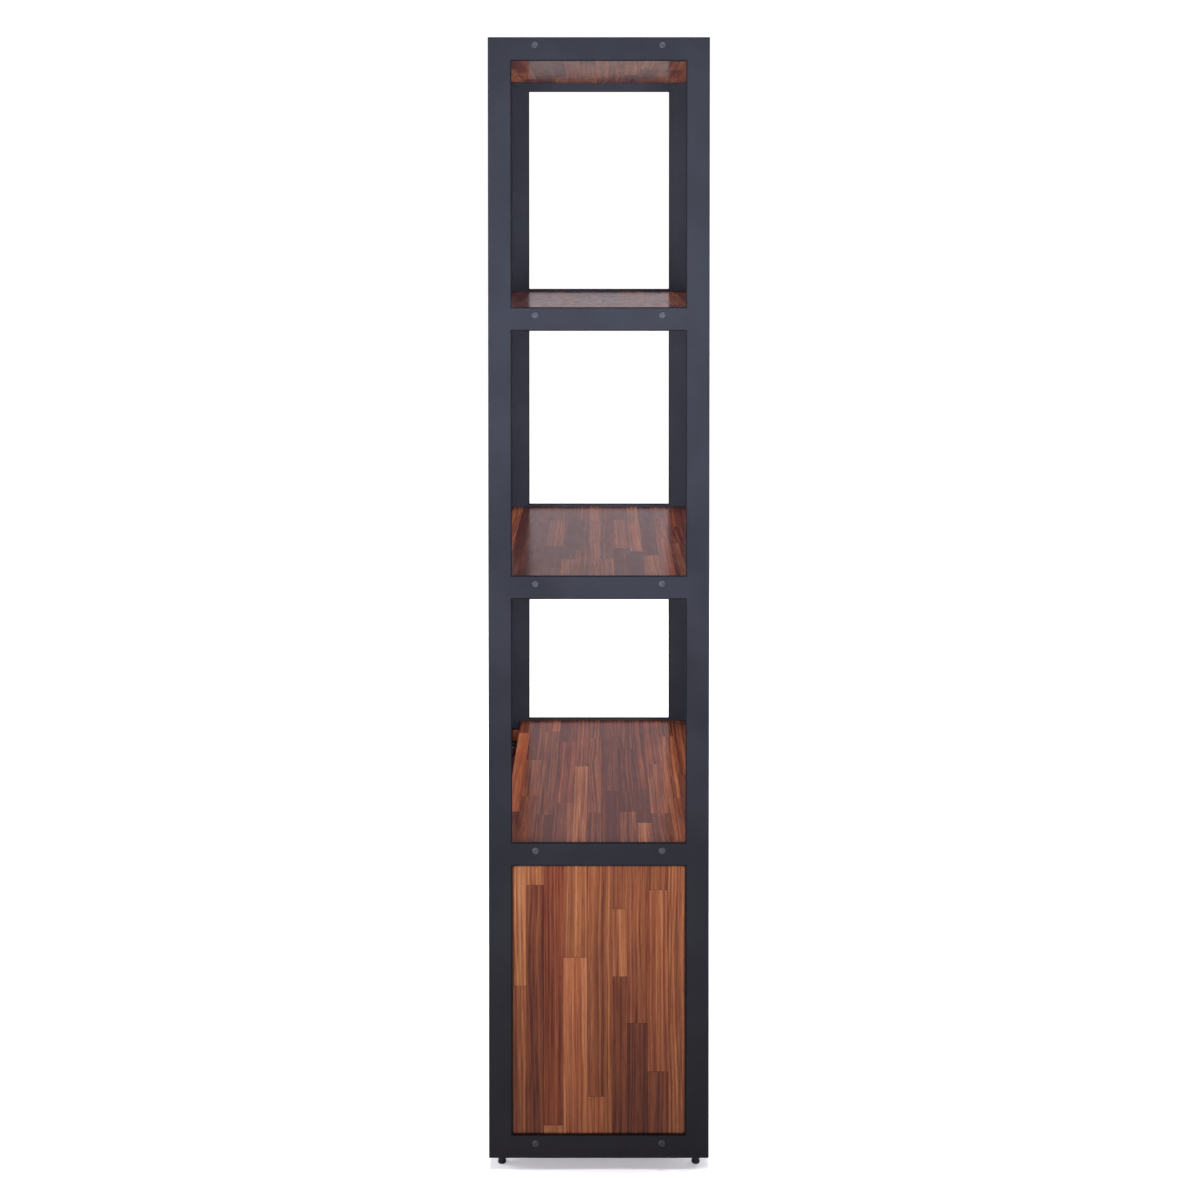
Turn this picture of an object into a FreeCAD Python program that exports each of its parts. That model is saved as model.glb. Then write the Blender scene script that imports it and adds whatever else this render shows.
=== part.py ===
"""A tall bookcase: two welded steel ladder ends, boards bolted between them and a cupboard at the bottom.

The frame is +X along the width, +Y to the back and +Z up. The origin is on the floor under the middle of the
whole outline, door pulls included. Every size is a cell of the sheet, and every expression below is written
with the names of those cells.
"""
import FreeCAD, Part
import os
import re
import Sketcher

SIZES = {
    "width": 610,               # over the two end frames
    "depth": 355.6,             # over the uprights
    "height": 1828.8,           # floor to the top of the uprights
    "foot_gap": 18.4,           # floor to the bottom of the uprights
    "bay_pitch": 432,           # from one rail's top to the next rail's top
    "steel_face": 38,           # width of every angle leg and flat bar
    "wall": 3,                  # thickness of the steel
    "corner_round": 2,          # outer corner of the angle steel
    "board": 15,                # thickness of every board, panel and door
    "board_drop": 5.5,          # rail top down to board top
    "front_step": 20,           # how far the cupboard's boards stand behind the front
    "back_thick": 6,            # cupboard back panel
    "bolt_spread": 204,         # between the two bolts of a rail
    "bolt_thread": 6,
    "bolt_play": 0.4,           # extra diameter of a rail's bolt hole
    "bolt_head": 11,
    "bolt_head_tall": 3.3,
    "bolt_reach": 17,           # shank length under the head
    "bolt_socket": 4,           # across flats
    "bolt_socket_deep": 2.2,
    "insert_outer": 9,
    "insert_long": 16,
    "dowel": 8,
    "dowel_in_board": 10,
    "dowel_in_panel": 20,
    "dowel_spread": 240,
    "back_screw": 3.5,
    "back_screw_head": 7,
    "back_screw_inset": 28,     # from the frame's side face
    "back_screw_margin": 60,    # from the panel's top and bottom
    "back_screw_long": 8,
    "peg": 5,                   # shelf peg and its holes
    "peg_in": 8,
    "peg_out": 10,
    "peg_pitch": 32,
    "peg_first": 104,           # lowest hole above the panel's bottom
    "peg_margin": 60,           # hole row to the panel's edge
    "peg_row": 4,               # the pegs sit this many holes above the lowest
    "peg_holes": 9,
    "shelf_side_gap": 1,
    "shelf_front": 30,          # adjustable shelf behind the frame's front
    "shelf_back_gap": 2,
    "rest_gap": 0.3,            # under a loose piece that rests on another
    "door_gap": 2.5,
    "door_meeting": 3,          # gap between the two doors
    "door_recess": 0.5,
    "pivot_inset": 12,          # pivot from the door's hinge edge
    "pivot_pin": 6,
    "pivot_play": 0.1,          # extra diameter of the bush's bore
    "pivot_in_door": 12,
    "bush_outer": 10,
    "bush_deep": 14,
    "bush_flange": 14,
    "bush_flange_tall": 2,
    "tab_wide": 24,
    "tab_deep": 14,
    "pull_reach": 18,           # door pull in front of the frame
    "pull_long": 140,
    "pull_wide": 10,
    "pull_bar": 6,
    "pull_post": 12,
    "pull_round": 3,
    "pull_inset": 34,           # pull's middle from the meeting edge
    "pull_drop": 60,            # pull's top below the door's top
    "pull_screw": 4,
    "pull_screw_in": 8,
    "pull_screw_head": 8,
    "pull_screw_head_tall": 2.4,
    "strike_wide": 28,
    "strike_tall": 14,
    "strike_thick": 1.5,
    "strike_inset": 10,         # strike's edge from the meeting edge
    "catch_tall": 26,
    "catch_deep": 15,
    "foot_inset": 20,           # foot's middle from both outer faces
    "foot_plate": 4,
    "foot_pad": 13.6,
    "foot_pad_top": 10.4,
    "foot_pad_tall": 10.8,
    "foot_stud": 6,
    "foot_play": 0.1,           # extra diameter of the nuts' bores
    "foot_stud_low": 3,
    "foot_stud_long": 27,
    "lock_nut": 10,             # across flats
    "lock_nut_tall": 3.2,
    "weld_nut_tall": 5,
}

# Places that several pieces share, written with the sheet's names.
FRONT = "(pull_reach - depth) / 2"
BACK = "(pull_reach + depth) / 2"
MIDDLE = "pull_reach / 2"
SIDE = "(width / 2)"
INNER = "(width / 2 - wall)"
PANEL_IN = "(width / 2 - wall - board)"
RAIL_LONG = "(depth - 2 * steel_face)"
LOW_RAIL_TOP = "(foot_gap + steel_face)"
CUPBOARD_RAIL_TOP = "(height - 3 * bay_pitch)"
CUPBOARD_FLOOR = f"({LOW_RAIL_TOP} - board_drop)"
CUPBOARD_CEILING = f"({CUPBOARD_RAIL_TOP} - board_drop - board)"
CUPBOARD_TALL = f"({CUPBOARD_CEILING} - {CUPBOARD_FLOOR})"
BOARD_MIDDLE_DROP = "(board_drop + board / 2)"
DOOR_LOW = f"({LOW_RAIL_TOP} + door_gap)"
DOOR_TALL = f"({CUPBOARD_RAIL_TOP} - steel_face - {LOW_RAIL_TOP} - 2 * door_gap)"
DOOR_HINGE_EDGE = "(width / 2 - steel_face - door_gap)"
DOOR_WIDE = f"({DOOR_HINGE_EDGE} - door_meeting / 2)"
PIVOT_X = f"({DOOR_HINGE_EDGE} - pivot_inset)"
PIVOT_Y = f"({FRONT} + door_recess + board / 2)"
PULL_X = "(door_meeting / 2 + pull_inset)"
PULL_DEEP = "(pull_reach + door_recess)"
PEG_HEIGHT = f"({CUPBOARD_FLOOR} + peg_first + peg_row * peg_pitch)"

HEXAGON_CORNER = 0.57735        # a hexagon's corner radius over its width across flats
SIDES = {"left": -1, "right": 1}
ENDS = {"front": -1, "back": 1}
UP = FreeCAD.Vector(0, 0, 1)
UPRIGHT = FreeCAD.Rotation()
TO_RIGHT = FreeCAD.Rotation(UP, FreeCAD.Vector(1, 0, 0))
TO_LEFT = FreeCAD.Rotation(UP, FreeCAD.Vector(-1, 0, 0))
TO_BACK = FreeCAD.Rotation(UP, FreeCAD.Vector(0, 1, 0))
TO_FRONT = FreeCAD.Rotation(UP, FreeCAD.Vector(0, -1, 0))
DOWN = FreeCAD.Rotation(FreeCAD.Vector(1, 0, 0), 180)

doc = FreeCAD.newDocument("bookcase")
sheet = doc.addObject("Spreadsheet::Sheet", "sizes")
for row, (name, value) in enumerate(SIZES.items(), 1):
    sheet.set(f"A{row}", name)
    sheet.set(f"B{row}", str(value))
    sheet.setAlias(f"B{row}", name)
doc.recompute()

subparts = []


def turned(degrees):
    """A rotation about the vertical."""
    return FreeCAD.Rotation(UP, degrees)


def signed(sign, expression):
    """The expression, or its negative on the low side."""
    return expression if sign > 0 else f"-({expression})"


def bind(thing, path, expression):
    """Ties one property of a thing to the sheet."""
    thing.setExpression(path, re.sub(r"[a-z_]+", r"sizes.\g<0>", expression))


def place(thing, x, y, z, rotation=UPRIGHT):
    thing.Placement = FreeCAD.Placement(FreeCAD.Vector(), rotation)
    for axis, expression in zip("xyz", (x, y, z)):
        bind(thing, f"Placement.Base.{axis}", expression)


def keep(thing, label):
    """Marks a finished object as a sub-part and names it."""
    thing.Label = label
    subparts.append(thing)
    return thing


# ---- sketches and features -------------------------------------------------------------------------------


def sketch_on(body, role, lift=None):
    """An empty sketch on one of the body's own origin planes, moved along the plane's normal by lift."""
    sketch = body.newObject("Sketcher::SketchObject", f"{body.Name}_sketch")
    plane = next(item for item in body.Origin.OriginFeatures if item.Role == role)
    sketch.AttachmentSupport = (plane, [""])
    sketch.MapMode = "FlatFace"
    if lift:
        bind(sketch, "AttachmentOffset.Base.z", lift)
    return sketch


def measure(sketch, kind, first, first_point, second, second_point, expression):
    """A distance between two points of a sketch, tied to the sheet."""
    number = sketch.addConstraint(
        Sketcher.Constraint(kind, first, first_point, second, second_point, 1.0)
    )
    bind(sketch, f"Constraints[{number}]", expression)


def draw_rectangle(sketch, wide, tall, right=None, up=None):
    """A rectangle from the sketch's origin, or from a corner that lies right and up of it."""
    corners = [FreeCAD.Vector(*xy) for xy in ((1, 1), (9, 1), (9, 9), (1, 9))]
    for start, end in zip(corners, corners[1:] + corners[:1]):
        sketch.addGeometry(Part.LineSegment(start, end))
    for side in range(4):
        sketch.addConstraint(Sketcher.Constraint("Coincident", side, 2, (side + 1) % 4, 1))
        sketch.addConstraint(Sketcher.Constraint("Vertical" if side % 2 else "Horizontal", side))
    measure(sketch, "DistanceX", 0, 1, 0, 2, wide)
    measure(sketch, "DistanceY", 1, 1, 1, 2, tall)
    if right is None:
        sketch.addConstraint(Sketcher.Constraint("Coincident", 0, 1, -1, 1))
    else:
        measure(sketch, "DistanceX", -1, 1, 0, 1, right)
        measure(sketch, "DistanceY", -1, 1, 0, 1, up)


def draw_circles(sketch, diameter, centres):
    for right, up in centres:
        circle = sketch.addGeometry(Part.Circle(FreeCAD.Vector(5, 5), UP, 1))
        number = sketch.addConstraint(Sketcher.Constraint("Diameter", circle, 2.0))
        bind(sketch, f"Constraints[{number}]", diameter)
        measure(sketch, "DistanceX", -1, 1, circle, 3, right)
        measure(sketch, "DistanceY", -1, 1, circle, 3, up)


def pad(body, sketch, length, reverse=False):
    feature = body.newObject("PartDesign::Pad", f"{body.Name}_pad")
    feature.Profile = sketch
    feature.Reversed = reverse
    bind(feature, "Length", length)
    return feature


def pocket(body, sketch, depth=None, reverse=False):
    """A cut to a depth, or right through where no depth is given."""
    feature = body.newObject("PartDesign::Pocket", f"{body.Name}_pocket")
    feature.Profile = sketch
    feature.Reversed = reverse
    if depth is None:
        feature.Type = "ThroughAll"
    else:
        bind(feature, "Length", depth)
    return feature


def fillet(body, feature, radius, wanted):
    """Rounds the edges that the test picks."""
    doc.recompute()
    names = [f"Edge{n}" for n, edge in enumerate(feature.Shape.Edges, 1) if wanted(edge)]
    rounded = body.newObject("PartDesign::Fillet", f"{body.Name}_fillet")
    rounded.Base = (feature, names)
    bind(rounded, "Radius", radius)


def block(name, wide, deep, tall):
    """A body that is a plain board or bar, its low corner at its own origin."""
    body = doc.addObject("PartDesign::Body", name)
    sketch = sketch_on(body, "XY_Plane")
    draw_rectangle(sketch, wide, deep)
    pad(body, sketch, tall)
    return body


def end_bores(body, diameter, depth, centres, length):
    """The same blind holes in both ends of a board, along its length."""
    near = sketch_on(body, "YZ_Plane")
    draw_circles(near, diameter, centres)
    pocket(body, near, depth, reverse=True)
    far = sketch_on(body, "YZ_Plane", lift=length)
    draw_circles(far, diameter, centres)
    pocket(body, far, depth)


def cylinder(name, diameter, height):
    thing = doc.addObject("Part::Cylinder", name)
    bind(thing, "Radius", f"({diameter}) / 2")
    bind(thing, "Height", height)
    return thing


def ring(name, outer, bore, height):
    """A tube standing on its own origin."""
    thing = doc.addObject("Part::Cut", name)
    thing.Base = cylinder(f"{name}_outside", outer, height)
    thing.Tool = cylinder(f"{name}_bore", bore, height)
    return thing


def hexagon(name, across, height):
    thing = doc.addObject("Part::Prism", name)
    thing.Polygon = 6
    bind(thing, "Circumradius", f"({across}) * {HEXAGON_CORNER}")
    bind(thing, "Height", height)
    return thing


def fuse(name, *pieces):
    thing = doc.addObject("Part::MultiFuse", name)
    thing.Shapes = list(pieces)
    return thing


def group(label, master, spots):
    """Identical pieces in one node: one link to the master for each place."""
    links = []
    for number, (x, y, z, rotation) in enumerate(spots, 1):
        link = doc.addObject("App::Link", f"{label}_{number}")
        link.LinkedObject = master
        place(link, x, y, z, rotation)
        links.append(link)
    compound = doc.addObject("Part::Compound", label)
    compound.Links = links
    return keep(compound, label)


# ---- steel end frames ------------------------------------------------------------------------------------


def upright(end, side, turn):
    """An angle post made of two legs, its outer corner at its own origin before it is turned.

    The corner leg runs along +X and carries the rounded corner. The other leg starts behind it, along +Y.
    """
    label = f"upright_{end}_{side}"
    tall = "height - foot_gap"
    corner_leg = block(f"{label}_corner_leg", "steel_face", "wall", tall)
    fillet(corner_leg, corner_leg.Tip, "corner_round", lambda edge: edge.BoundBox.DiagonalLength
           > SIZES["height"] / 2 and edge.BoundBox.XMax < 1e-6 and edge.BoundBox.YMax < 1e-6)
    other_leg = block(f"{label}_other_leg", "wall", "steel_face - wall", tall)
    place(other_leg, "0", "wall", "0")
    if end == "back" and side == "right":
        back_screw_holes(corner_leg, "XZ_Plane", "back_screw_inset")
    elif end == "back":
        back_screw_holes(other_leg, "YZ_Plane", "back_screw_inset - wall")
    angle = doc.addObject("Part::Compound", label)
    angle.Links = [corner_leg, other_leg]
    place(angle, signed(SIDES[side], SIDE), FRONT if end == "front" else BACK, "foot_gap", turned(turn))
    return keep(angle, label)


def back_screw_heights():
    """Heights of the back panel's screws above the panel's bottom."""
    return ["back_screw_margin", f"{CUPBOARD_TALL} / 2", f"{CUPBOARD_TALL} - back_screw_margin"]


def back_screw_holes(body, plane, inset):
    """Countersunk holes for the back panel's screws, in a leg that lies on the given plane."""
    sketch = sketch_on(body, plane)
    lift = f"{CUPBOARD_FLOOR} - foot_gap"
    draw_circles(sketch, "back_screw", [
        (inset, f"{lift} + {height}") for height in back_screw_heights()
    ])
    doc.recompute()
    hole = body.newObject("PartDesign::Hole", f"{body.Name}_hole")
    hole.Profile = sketch
    doc.recompute()
    hole.Reversed = plane == "YZ_Plane"
    hole.DepthType = "ThroughAll"
    hole.HoleCutType = "Countersink"
    hole.HoleCutCountersinkAngle = 90
    bind(hole, "Diameter", "back_screw")
    bind(hole, "HoleCutDiameter", "back_screw_head")


def end_rail(side, name, top):
    """A flat bar welded between two uprights, with the two bolt holes of its board."""
    label = f"end_rail_{side}_{name}"
    body = block(label, "wall", RAIL_LONG, "steel_face")
    holes = sketch_on(body, "YZ_Plane")
    draw_circles(holes, "bolt_thread + bolt_play", [
        (f"{RAIL_LONG} / 2 {half} bolt_spread / 2", f"steel_face - {BOARD_MIDDLE_DROP}") for half in "-+"
    ])
    pocket(body, holes, reverse=True)
    outer = INNER if side == "right" else f"-{SIDE}"
    place(body, outer, f"{FRONT} + steel_face", f"{top} - steel_face")
    return keep(body, label)


def front_rail(label, top):
    """A flat bar welded between the front uprights, above or below the doors."""
    body = block(label, "width - 2 * steel_face", "wall", "steel_face")
    place(body, f"-({SIDE} - steel_face)", FRONT, f"{top} - steel_face")
    return keep(body, label)


for upright_end, upright_side, upright_turn in (
    ("front", "left", 0), ("front", "right", 90), ("back", "right", 180), ("back", "left", 270),
):
    upright(upright_end, upright_side, upright_turn)

RAIL_TOPS = {
    "top": "height",
    "upper": "(height - bay_pitch)",
    "middle": "(height - 2 * bay_pitch)",
    "cupboard": CUPBOARD_RAIL_TOP,
    "bottom": LOW_RAIL_TOP,
}
for rail_side in SIDES:
    for rail_name, rail_top in RAIL_TOPS.items():
        end_rail(rail_side, rail_name, rail_top)
front_rail("front_rail_above_doors", CUPBOARD_RAIL_TOP)
front_rail("front_rail_below_doors", LOW_RAIL_TOP)


# ---- levelling feet --------------------------------------------------------------------------------------


def foot_spot(end, side):
    """Where a foot's axis stands."""
    x = signed(SIDES[side], f"{SIDE} - foot_inset")
    y = f"{FRONT} + foot_inset" if end == "front" else f"{BACK} - foot_inset"
    return x, y


def foot_spots(height):
    return [(*foot_spot(end, side), height, UPRIGHT) for end in ENDS for side in SIDES]


def foot_plate():
    """The plate that closes an upright's corner, its middle hole on the foot's axis at its own origin."""
    plate = doc.addObject("Part::Box", "foot_plate_sheet")
    for edge in ("Length", "Width"):
        bind(plate, edge, "2 * (foot_inset - wall)")
    bind(plate, "Height", "foot_plate")
    place(plate, "wall - foot_inset", "wall - foot_inset", "0")
    cut = doc.addObject("Part::Cut", "foot_plate_master")
    cut.Base = plate
    cut.Tool = cylinder("foot_plate_hole", "foot_stud + bolt_play", "foot_plate")
    return cut


def drilled_nut(name, height):
    nut = doc.addObject("Part::Cut", name)
    nut.Base = hexagon(f"{name}_hexagon", "lock_nut", height)
    nut.Tool = cylinder(f"{name}_bore", "foot_stud + foot_play", height)
    return nut


def foot_pad(label):
    """A tapered plastic pad with the socket that holds its stud."""
    cone = doc.addObject("Part::Cone", f"{label}_cone")
    bind(cone, "Radius1", "foot_pad / 2")
    bind(cone, "Radius2", "foot_pad_top / 2")
    bind(cone, "Height", "foot_pad_tall")
    socket = cylinder(f"{label}_socket", "foot_stud", "foot_pad_tall - foot_stud_low")
    place(socket, "0", "0", "foot_stud_low")
    pad_cut = doc.addObject("Part::Cut", label)
    pad_cut.Base = cone
    pad_cut.Tool = socket
    return pad_cut


group("foot_plates", foot_plate(), foot_spots("foot_gap"))
lock_nut = drilled_nut("lock_nut_master", "lock_nut_tall")
weld_nut = drilled_nut("weld_nut_master", "weld_nut_tall")
group("foot_lock_nuts", lock_nut, foot_spots("foot_gap - lock_nut_tall"))
group("foot_weld_nuts", weld_nut, foot_spots("foot_gap + foot_plate"))
for foot_end in ENDS:
    for foot_side in SIDES:
        foot_name = f"foot_{foot_end}_{foot_side}"
        foot_x, foot_y = foot_spot(foot_end, foot_side)
        place(keep(foot_pad(f"{foot_name}_pad"), f"{foot_name}_pad"), foot_x, foot_y, "0")
        stud = cylinder(f"{foot_name}_stud", "foot_stud", "foot_stud_long")
        place(keep(stud, f"{foot_name}_stud"), foot_x, foot_y, "foot_stud_low")


# ---- boards ----------------------------------------------------------------------------------------------


def bolted_board(label, top, front_gap):
    """A board between the end rails, with bores in its ends for the threaded inserts."""
    long = f"2 * {INNER}"
    body = block(label, long, f"depth - wall - {front_gap}", "board")
    end_bores(body, "insert_outer", "insert_long", [
        (f"depth / 2 - {front_gap} {half} bolt_spread / 2", "board / 2") for half in "-+"
    ], long)
    place(body, f"-{INNER}", f"{FRONT} + {front_gap}", f"{top} - board_drop - board")
    return body


def dowel_holes(body, plane_lift, reverse):
    """The four dowel holes in the face of a cupboard board that meets the side panels."""
    sketch = sketch_on(body, "XY_Plane", lift=plane_lift)
    draw_circles(sketch, "dowel", [
        (right, f"depth / 2 - front_step {half} dowel_spread / 2")
        for right in ("board / 2", f"2 * {INNER} - board / 2") for half in "-+"
    ])
    pocket(body, sketch, "dowel_in_board", reverse=reverse)


keep(bolted_board("top_board", "height", "wall"), "top_board")
keep(bolted_board("upper_shelf", RAIL_TOPS["upper"], "wall"), "upper_shelf")
keep(bolted_board("middle_shelf", RAIL_TOPS["middle"], "wall"), "middle_shelf")
cupboard_top = keep(bolted_board("cupboard_top", CUPBOARD_RAIL_TOP, "front_step"), "cupboard_top")
dowel_holes(cupboard_top, None, reverse=True)
cupboard_floor = keep(bolted_board("cupboard_floor", LOW_RAIL_TOP, "front_step"), "cupboard_floor")
dowel_holes(cupboard_floor, "board", reverse=False)


# ---- cupboard --------------------------------------------------------------------------------------------


def side_panel(side):
    """A cupboard side, its inner face on its own YZ plane, with two rows of shelf peg holes."""
    label = f"side_panel_{side}"
    deep = "(depth - 2 * wall)"
    body = block(label, "board", deep, CUPBOARD_TALL)
    for lift, reverse in ((None, True), (CUPBOARD_TALL, False)):
        dowels = sketch_on(body, "XY_Plane", lift=lift)
        draw_circles(dowels, "dowel", [
            ("board / 2", f"{deep} / 2 {half} dowel_spread / 2") for half in "-+"
        ])
        pocket(body, dowels, "dowel_in_panel", reverse=reverse)
    pegs = sketch_on(body, "YZ_Plane")
    draw_circles(pegs, "peg", [(y, "peg_first") for y in ("peg_margin", f"{deep} - peg_margin")])
    first_holes = pocket(body, pegs, "peg_in", reverse=True)
    rows = body.newObject("PartDesign::LinearPattern", f"{label}_rows")
    rows.Originals = [first_holes]
    rows.Direction = (pegs, ["V_Axis"])
    bind(rows, "Occurrences", "peg_holes")
    bind(rows, "Length", "(peg_holes - 1) * peg_pitch")
    body.Tip = rows
    if side == "right":
        place(body, PANEL_IN, f"{FRONT} + wall", CUPBOARD_FLOOR)
    else:
        place(body, f"-{PANEL_IN}", f"{BACK} - wall", CUPBOARD_FLOOR, turned(180))
    return keep(body, label)


def back_panel():
    body = block("back_panel", f"2 * {PANEL_IN}", "back_thick", CUPBOARD_TALL)
    pilots = sketch_on(body, "XZ_Plane", lift="-back_thick")
    edge = f"back_screw_inset - ({SIDE} - {PANEL_IN})"
    draw_circles(pilots, "back_screw", [
        (x, height) for x in (edge, f"2 * {PANEL_IN} - ({edge})") for height in back_screw_heights()
    ])
    pocket(body, pilots, "back_screw_long - wall", reverse=True)
    place(body, f"-{PANEL_IN}", f"{BACK} - wall - back_thick", CUPBOARD_FLOOR)
    return keep(body, "back_panel")


def adjustable_shelf():
    body = block("adjustable_shelf", f"2 * ({PANEL_IN} - shelf_side_gap)",
                 "depth - shelf_front - wall - back_thick - shelf_back_gap", "board")
    place(body, f"-({PANEL_IN} - shelf_side_gap)", f"{FRONT} + shelf_front",
          f"{PEG_HEIGHT} + peg / 2 + rest_gap")
    return keep(body, "adjustable_shelf")


for panel_side in SIDES:
    side_panel(panel_side)
back_panel()
adjustable_shelf()

group("shelf_pegs", cylinder("peg_master", "peg", "peg_in + peg_out"), [
    (f"-({PANEL_IN} + peg_in)" if side == "left" else f"{PANEL_IN} + peg_in",
     f"{MIDDLE} {half} (depth / 2 - wall - peg_margin)", PEG_HEIGHT,
     TO_RIGHT if side == "left" else TO_LEFT)
    for side in SIDES for half in "-+"
])
group("dowels", cylinder("dowel_master", "dowel", "dowel_in_board + dowel_in_panel"), [
    (signed(sign, f"{INNER} - board / 2"), f"{MIDDLE} {half} dowel_spread / 2", low, UPRIGHT)
    for sign in SIDES.values() for half in "-+"
    for low in (f"{CUPBOARD_FLOOR} - dowel_in_board", f"{CUPBOARD_CEILING} - dowel_in_panel")
])


# ---- doors -----------------------------------------------------------------------------------------------


def door(side):
    """A door whose hinge edge is at its own origin, with bores for its bushes and holes for its pull."""
    label = f"door_{side}"
    body = block(label, DOOR_WIDE, "board", DOOR_TALL)
    for lift, reverse in ((None, True), (DOOR_TALL, False)):
        bore = sketch_on(body, "XY_Plane", lift=lift)
        draw_circles(bore, "bush_outer", [("pivot_inset", "board / 2")])
        pocket(body, bore, "bush_deep", reverse=reverse)
    screws = sketch_on(body, "XZ_Plane")
    draw_circles(screws, "pull_screw", [
        (f"{DOOR_WIDE} - pull_inset", f"{DOOR_TALL} - pull_drop - {height}")
        for height in ("pull_post / 2", "(pull_long - pull_post / 2)")
    ])
    pocket(body, screws)
    if side == "left":
        place(body, f"-{DOOR_HINGE_EDGE}", f"{FRONT} + door_recess", DOOR_LOW)
    else:
        place(body, DOOR_HINGE_EDGE, f"{FRONT} + door_recess + board", DOOR_LOW, turned(180))
    return keep(body, label)


def door_pull(side):
    """A square D-shaped pull, its mounting plane on its own XZ plane."""
    label = f"door_pull_{side}"
    body = doc.addObject("PartDesign::Body", label)
    outline = sketch_on(body, "YZ_Plane")
    draw_rectangle(outline, PULL_DEEP, "pull_long")
    pad(body, outline, "pull_wide")
    gap = sketch_on(body, "YZ_Plane")
    draw_rectangle(gap, f"{PULL_DEEP} - pull_bar", "pull_long - 2 * pull_post", "pull_bar", "pull_post")
    loop = pocket(body, gap, reverse=True)
    fillet(body, loop, "pull_round", lambda edge: edge.BoundBox.YMax < 1e-6
           and edge.BoundBox.XLength > SIZES["pull_wide"] / 2)
    threads = sketch_on(body, "XZ_Plane", lift=f"-{PULL_DEEP}")
    draw_circles(threads, "pull_screw", [
        ("pull_wide / 2", height) for height in ("pull_post / 2", "pull_long - pull_post / 2")
    ])
    pocket(body, threads, "pull_screw_in", reverse=True)
    place(body, signed(SIDES[side], PULL_X) + " - pull_wide / 2", f"{FRONT} - pull_reach",
          f"{DOOR_LOW} + {DOOR_TALL} - pull_drop - pull_long")
    return keep(body, label)


def pull_screw_master():
    head = cylinder("pull_screw_head_master", "pull_screw_head", "pull_screw_head_tall")
    shank = cylinder("pull_screw_shank_master", "pull_screw", "board + pull_screw_in")
    place(shank, "0", "0", "pull_screw_head_tall")
    return fuse("pull_screw_master", head, shank)


def bush_master():
    """A flanged pivot bush, flange up, its shoulder at its own origin."""
    barrel = cylinder("bush_barrel", "bush_outer", "bush_deep")
    place(barrel, "0", "0", "-bush_deep")
    body = fuse("bush_solid", barrel, cylinder("bush_collar", "bush_flange", "bush_flange_tall"))
    bore = cylinder("bush_bore", "pivot_pin + pivot_play", "bush_deep + bush_flange_tall")
    place(bore, "0", "0", "-bush_deep")
    bush = doc.addObject("Part::Cut", "bush_master")
    bush.Base = body
    bush.Tool = bore
    return bush


def tab_master():
    """A pivot tab, its pin hole on its own origin and its welded edge towards the front."""
    plate = doc.addObject("Part::Box", "tab_plate")
    bind(plate, "Length", "tab_wide")
    bind(plate, "Width", "tab_deep")
    bind(plate, "Height", "wall")
    place(plate, "-tab_wide / 2", "wall - door_recess - board / 2", "0")
    tab = doc.addObject("Part::Cut", "tab_master")
    tab.Base = plate
    tab.Tool = cylinder("tab_hole", "pivot_pin", "wall")
    return tab


PIVOT_LOW = f"{LOW_RAIL_TOP} - wall"
PIVOT_HIGH = f"{CUPBOARD_RAIL_TOP} - steel_face"
PIN_LONG = "wall + door_gap + pivot_in_door"
group("door_pivot_tabs", tab_master(), [
    (signed(sign, PIVOT_X), PIVOT_Y, height, UPRIGHT)
    for sign in SIDES.values() for height in (PIVOT_LOW, PIVOT_HIGH)
])
group("door_pivot_pins", cylinder("pivot_pin_master", "pivot_pin", PIN_LONG), [
    (signed(sign, PIVOT_X), PIVOT_Y, height, UPRIGHT)
    for sign in SIDES.values() for height in (PIVOT_LOW, f"{PIVOT_HIGH} + wall - ({PIN_LONG})")
])
bush = bush_master()
pull_screw = pull_screw_master()
for door_side, door_sign in SIDES.items():
    door(door_side)
    door_pull(door_side)
    group(f"door_bushes_{door_side}", bush, [
        (signed(door_sign, PIVOT_X), PIVOT_Y, DOOR_LOW, DOWN),
        (signed(door_sign, PIVOT_X), PIVOT_Y, f"{DOOR_LOW} + {DOOR_TALL}", UPRIGHT),
    ])
    group(f"pull_screws_{door_side}", pull_screw, [
        (signed(door_sign, PULL_X), f"{FRONT} + door_recess + board + pull_screw_head_tall",
         f"{DOOR_LOW} + {DOOR_TALL} - pull_drop - {height}", TO_FRONT)
        for height in ("pull_post / 2", "(pull_long - pull_post / 2)")
    ])


def door_catch(side):
    """The magnet block under the cupboard's top, and the steel strike on the door's back."""
    inner_edge = "(door_meeting / 2 + strike_inset)"
    low_x = inner_edge if side == "right" else f"-({inner_edge} + strike_wide)"
    door_back = f"{FRONT} + door_recess + board"
    strike = doc.addObject("Part::Box", f"door_strike_{side}")
    bind(strike, "Length", "strike_wide")
    bind(strike, "Width", "strike_thick")
    bind(strike, "Height", "strike_tall")
    catch_low = f"{CUPBOARD_CEILING} - catch_tall"
    place(strike, low_x, door_back, f"{DOOR_LOW} + {DOOR_TALL} - strike_tall")
    keep(strike, f"door_strike_{side}")
    magnet = block(f"door_magnet_{side}", "strike_wide", "catch_deep", "catch_tall")
    place(magnet, low_x, f"{door_back} + strike_thick + rest_gap", catch_low)
    keep(magnet, f"door_magnet_{side}")


for catch_side in SIDES:
    door_catch(catch_side)


# ---- fasteners -------------------------------------------------------------------------------------------


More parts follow.
